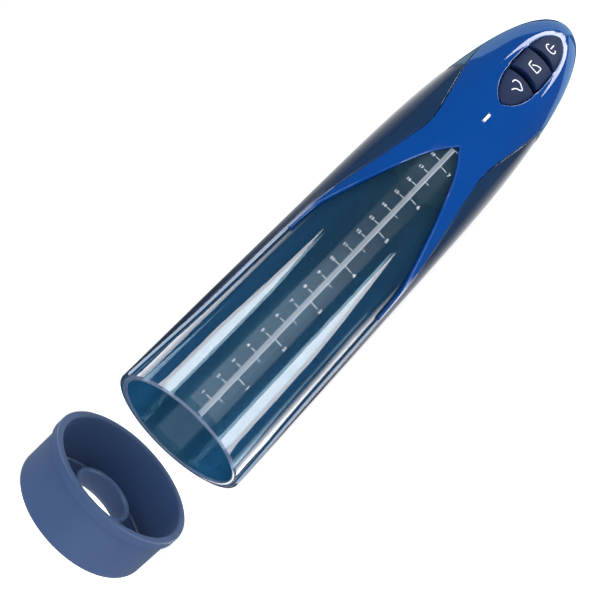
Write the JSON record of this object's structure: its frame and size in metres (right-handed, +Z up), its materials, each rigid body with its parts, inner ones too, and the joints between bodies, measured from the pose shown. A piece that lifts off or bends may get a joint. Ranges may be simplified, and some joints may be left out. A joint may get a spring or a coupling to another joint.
{
  "type": "vacuum therapy pump",
  "caption": "Hand-held motorised vacuum pump: clear smoke-blue cylinder with a length scale, blue tapered motor head with push buttons, and a loose soft sealing sleeve.",
  "frame": {"origin": "centre of the bounding box, on the surface that the pump and the sleeve lie on", "axes": "+X along the pump's axis from the open mouth to the rounded tip; -Y is the front with the scale and buttons; +Z up"},
  "size_m": [0.3918, 0.106, 0.0756],
  "materials": {
    "smoke_clear": "clear smoke-blue plastic, polished",
    "gloss_blue": "bright blue, high gloss",
    "smoke_casing": "dark smoke blue, high gloss",
    "navy_soft": "soft-touch navy",
    "navy_seal": "matt",
    "white_lens": "frosted white",
    "silicone_blue": "matt silicone",
    "frame_grey": "moulded",
    "pump_grey": "moulded",
    "board_green": "solder mask",
    "switch_black": "moulded",
    "screw_steel": "zinc plated",
    "motor_steel": "plated sheet",
    "magnet_grey": "sintered ferrite",
    "brass_yellow": "turned",
    "black_rubber": "matt",
    "hose_clear": "milky silicone",
    "battery_blue": "shrink-wrapped cell",
    "wire_red": "insulated wire"
  },
  "bodies": {
    "pump": {"cylinder_tube": "smoke_clear", "front_cover": "gloss_blue", "rear_casing": "smoke_casing", "button_seal": "navy_seal", "suction_switch": "switch_black", "release_switch": "switch_black", "power_switch": "switch_black", "indicator_light_pipe": "white_lens", "indicator_led": "white_lens", "control_board": "board_green", "board_screw_1": "screw_steel", "board_screw_2": "screw_steel", "board_screw_3": "screw_steel", "board_screw_4": "screw_steel", "inner_chassis": "frame_grey", "plate_screw_1": "screw_steel", "plate_screw_2": "screw_steel", "motor_cradle": "frame_grey", "battery_cradle": "frame_grey", "tube_end_plate": "frame_grey", "tube_seal_ring": "black_rubber", "motor_can": "motor_steel", "motor_end_cap": "switch_black", "motor_magnet_1": "magnet_grey", "motor_magnet_2": "magnet_grey", "pump_base": "pump_grey", "swing_frame": "frame_grey", "pump_diaphragm": "black_rubber", "pump_valve_seat": "pump_grey", "pump_head": "pump_grey", "release_valve_body": "motor_steel", "vacuum_hose": "hose_clear", "release_hose": "hose_clear", "battery_cell": "battery_blue", "charging_socket": "switch_black", "motor_lead_1": "wire_red", "motor_lead_2": "wire_red", "battery_lead_1": "wire_red", "battery_lead_2": "wire_red"},
    "sleeve": {"entry_sleeve": "silicone_blue"},
    "suction_button": {"suction_button": "navy_soft"},
    "release_button": {"release_button": "navy_soft"},
    "power_button": {"power_button": "navy_soft"},
    "rotor": {"motor_rotor": "motor_steel", "eccentric_wheel": "brass_yellow"},
    "valve_plunger": {"release_valve_plunger": "screw_steel"}
  },
  "joints": [
    {"name": "suction_button_press", "type": "slide", "parent": "pump", "child": "suction_button", "axis": [0, 1, 0], "range_m": [0, 0.0008], "stiffness_N_per_m": 900},
    {"name": "release_button_press", "type": "slide", "parent": "pump", "child": "release_button", "axis": [0, 1, 0], "range_m": [0, 0.0008], "stiffness_N_per_m": 900},
    {"name": "power_button_press", "type": "slide", "parent": "pump", "child": "power_button", "axis": [0, 1, 0], "range_m": [0, 0.0008], "stiffness_N_per_m": 900},
    {"name": "motor_spin", "type": "hinge", "parent": "pump", "child": "rotor", "pos_m": [0.1069, -0.01292, 0.0222], "axis": [1, 0, 0], "continuous": true},
    {"name": "release_valve_stroke", "type": "slide", "parent": "pump", "child": "valve_plunger", "axis": [-1, 0, 0], "range_m": [0, 0.0015], "stiffness_N_per_m": 300},
    {"name": "sleeve_swing", "type": "hinge", "parent": "pump", "child": "sleeve", "pos_m": [-0.10798, 0.01796, 0.0378], "axis": [0, 0, 1], "range_deg": [0, 43.3]}
  ]
}
